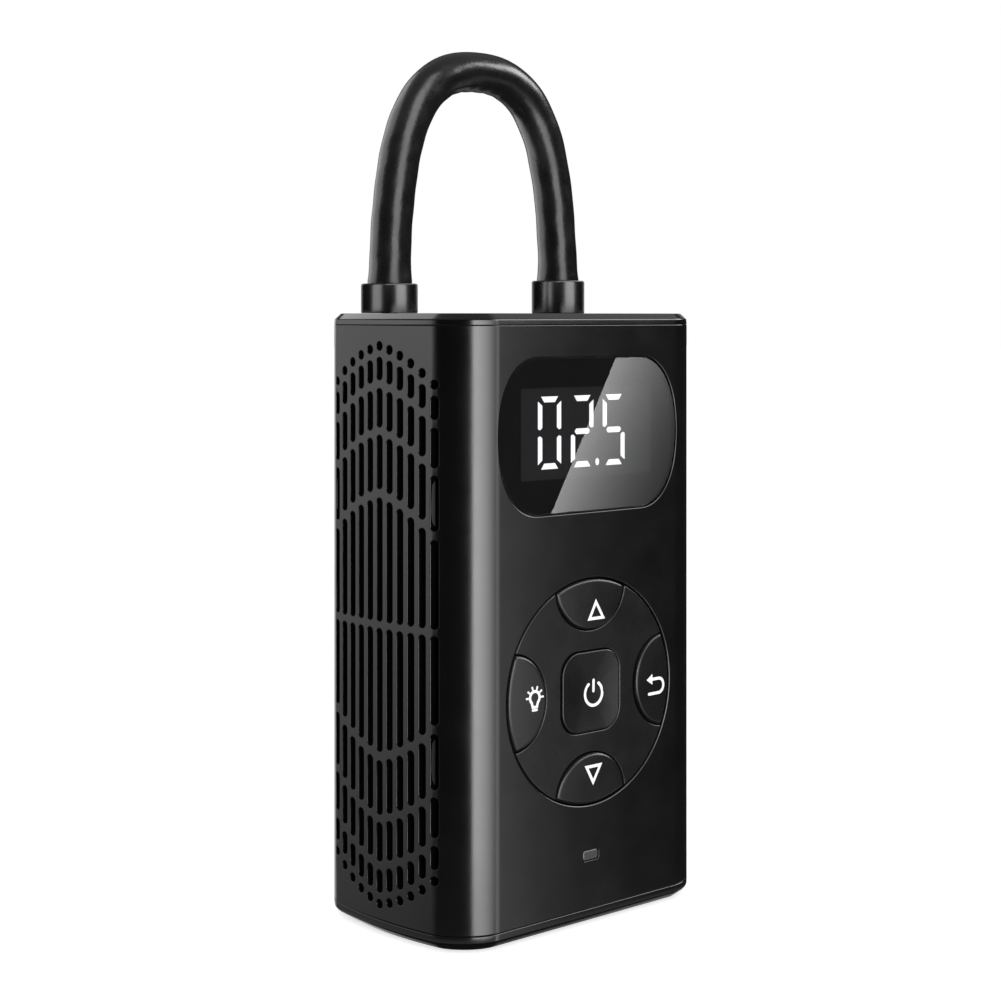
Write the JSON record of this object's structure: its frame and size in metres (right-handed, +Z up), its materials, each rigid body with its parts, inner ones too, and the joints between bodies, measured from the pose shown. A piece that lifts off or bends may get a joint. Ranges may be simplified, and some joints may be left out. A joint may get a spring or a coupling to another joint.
{
  "type": "handheld air pump",
  "caption": "Cordless hand-held air pump: upright body between two caps, slotted side vents, display window, round key field and a hose looped over the top.",
  "frame": {"origin": "middle of the resting face under the body", "axes": "+Z up along the body, -Y towards the display, +X to the right as the display is read"},
  "size_m": [0.073, 0.0484, 0.18],
  "materials": {
    "shell_black": "satin",
    "cap_black": "gloss",
    "key_rubber": "satin",
    "hose_rubber": "satin",
    "collar_black": "gloss",
    "smoked_glass": "gloss",
    "clear_lens": "gloss",
    "brass": "satin",
    "steel": "satin",
    "aluminium": "satin",
    "grey_plastic": "matte",
    "white_nylon": "matte",
    "board_green": "satin",
    "cell_blue": "gloss",
    "copper": "satin",
    "magnet_grey": "matte",
    "seal_rubber": "matte"
  },
  "bodies": {
    "housing": {"air_tube": "seal_rubber", "back_switch": "grey_plastic", "base_pad": "seal_rubber", "battery_cell_1": "cell_blue", "battery_cell_2": "cell_blue", "battery_cradle": "grey_plastic", "body_shell": "shell_black", "bottom_cap": "cap_black", "case_screw_1": "steel", "case_screw_2": "steel", "case_screw_3": "steel", "case_screw_4": "steel", "cylinder_block": "aluminium", "cylinder_head": "aluminium", "display_lens": "smoked_glass", "display_module": "grey_plastic", "down_switch": "grey_plastic", "gear_axle": "steel", "gear_plate": "aluminium", "hose": "hose_rubber", "hose_switch": "grey_plastic", "indicator_lens": "clear_lens", "key_frame": "key_rubber", "lamp_led": "white_nylon", "lamp_lens": "clear_lens", "light_switch": "grey_plastic", "magnet_ring": "magnet_grey", "main_board": "board_green", "motor_can": "steel", "motor_end_cap": "grey_plastic", "outlet_collar": "collar_black", "outlet_fitting": "brass", "outlet_port": "brass", "power_switch": "grey_plastic", "pressure_sensor": "grey_plastic", "storage_socket": "grey_plastic", "top_cap": "cap_black", "up_switch": "grey_plastic", "usb_port": "steel", "valve_plate": "steel", "vent_screen_left": "seal_rubber", "vent_screen_right": "seal_rubber"},
    "rotor": {"motor_shaft": "steel", "armature": "copper", "pinion": "steel", "cooling_fan": "white_nylon"},
    "crank": {"crank_gear": "white_nylon"},
    "piston": {"piston_rod": "aluminium", "piston_seal": "seal_rubber", "crank_pin": "steel"},
    "hose_end": {"free_collar": "collar_black", "valve_chuck": "brass", "valve_pin": "brass", "chuck_seal": "seal_rubber"},
    "up_key": {"up_button": "key_rubber"},
    "down_key": {"down_button": "key_rubber"},
    "light_key": {"light_button": "key_rubber"},
    "back_key": {"back_button": "key_rubber"},
    "power_key": {"power_button": "key_rubber"}
  },
  "joints": [
    {"name": "rotor_spin", "type": "hinge", "parent": "housing", "child": "rotor", "pos_m": [-0.0186, 0.003, 0.055], "axis": [0, 0, 1], "continuous": true},
    {"name": "crank_spin", "type": "hinge", "parent": "housing", "child": "crank", "pos_m": [-0.0015, 0.003, 0.0784], "axis": [0, 0, 1], "continuous": true},
    {"name": "piston_stroke", "type": "slide", "parent": "housing", "child": "piston", "axis": [1, 0, 0], "range_m": [0, 0.01]},
    {"name": "hose_pull", "type": "slide", "parent": "housing", "child": "hose_end", "axis": [0, 0, 1], "range_m": [0, 0.0145], "deforming": ["hose"]},
    {"name": "up_press", "type": "slide", "parent": "housing", "child": "up_key", "axis": [0, 1, 0], "range_m": [0, 0.0005]},
    {"name": "down_press", "type": "slide", "parent": "housing", "child": "down_key", "axis": [0, 1, 0], "range_m": [0, 0.0005]},
    {"name": "light_press", "type": "slide", "parent": "housing", "child": "light_key", "axis": [0, 1, 0], "range_m": [0, 0.0005]},
    {"name": "back_press", "type": "slide", "parent": "housing", "child": "back_key", "axis": [0, 1, 0], "range_m": [0, 0.0005]},
    {"name": "power_press", "type": "slide", "parent": "housing", "child": "power_key", "axis": [0, 1, 0], "range_m": [0, 0.0005]}
  ],
  "couplings": [
    {"joint": "crank_spin", "follows": "rotor_spin", "ratio": -0.23913}
  ]
}
